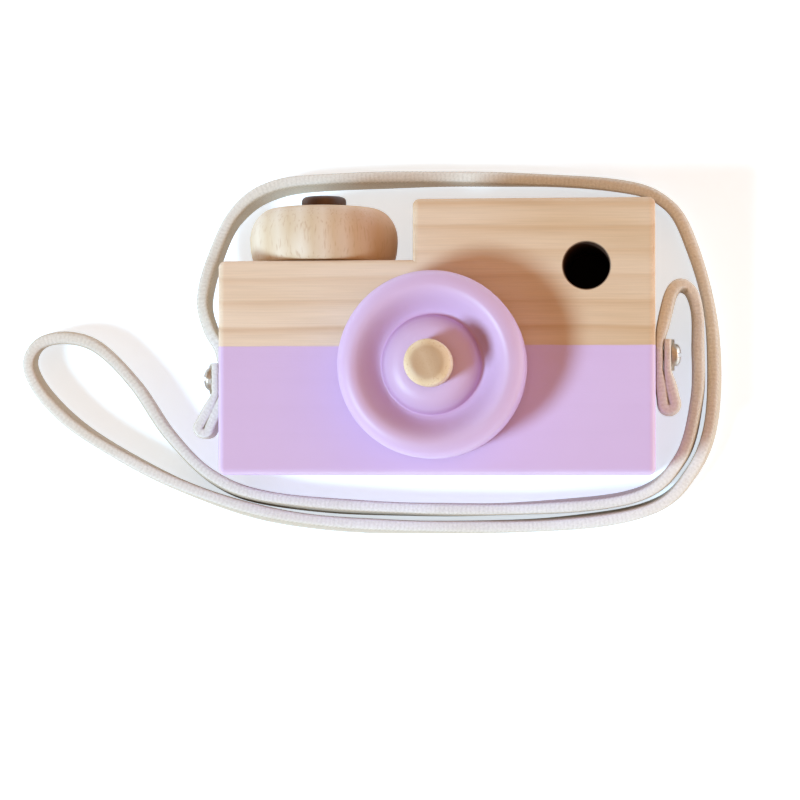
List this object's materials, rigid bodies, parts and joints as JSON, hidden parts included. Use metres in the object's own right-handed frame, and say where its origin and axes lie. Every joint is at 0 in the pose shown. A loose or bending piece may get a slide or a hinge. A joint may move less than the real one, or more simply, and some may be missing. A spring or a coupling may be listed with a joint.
{
  "type": "toy camera",
  "caption": "Wooden toy camera block with a turning lens wheel, a turning winder knob, a drilled viewfinder and a cotton tape neck strap.",
  "frame": {"origin": "middle of the block's back face, which lies on the table", "axes": "+X to the right seen from the front, +Y towards the top with the winder knob, +Z out of the lens"},
  "size_m": [0.1591, 0.0818, 0.0586],
  "materials": {
    "pine_block": "sanded pine, lower half under satin lilac paint",
    "lilac_lens": "turned wood under satin lilac paint",
    "beech_peg": "turned beech, bare",
    "beech_knob": "turned beech, sanded and waxed",
    "stained_peg": "turned beech, stained brown",
    "cotton_tape": "woven natural cotton",
    "plated_fixing": "nickel-plated steel"
  },
  "bodies": {
    "camera": {"body_block": "pine_block", "lens_peg": "beech_peg", "knob_peg": "stained_peg", "strap": "cotton_tape", "strap_end_left": "cotton_tape", "strap_end_right": "cotton_tape", "strap_screw_left": "plated_fixing", "strap_screw_right": "plated_fixing", "strap_washer_left": "plated_fixing", "strap_washer_right": "plated_fixing"},
    "lens": {"lens_wheel": "lilac_lens"},
    "knob": {"winder_knob": "beech_knob"}
  },
  "joints": [
    {"name": "lens_turn", "type": "hinge", "parent": "camera", "child": "lens", "pos_m": [0, -0.0065, 0.0353], "axis": [0, 0, 1], "continuous": true},
    {"name": "knob_turn", "type": "hinge", "parent": "camera", "child": "knob", "pos_m": [-0.0262, 0.017, 0.0175], "axis": [0, 1, 0], "continuous": true}
  ]
}
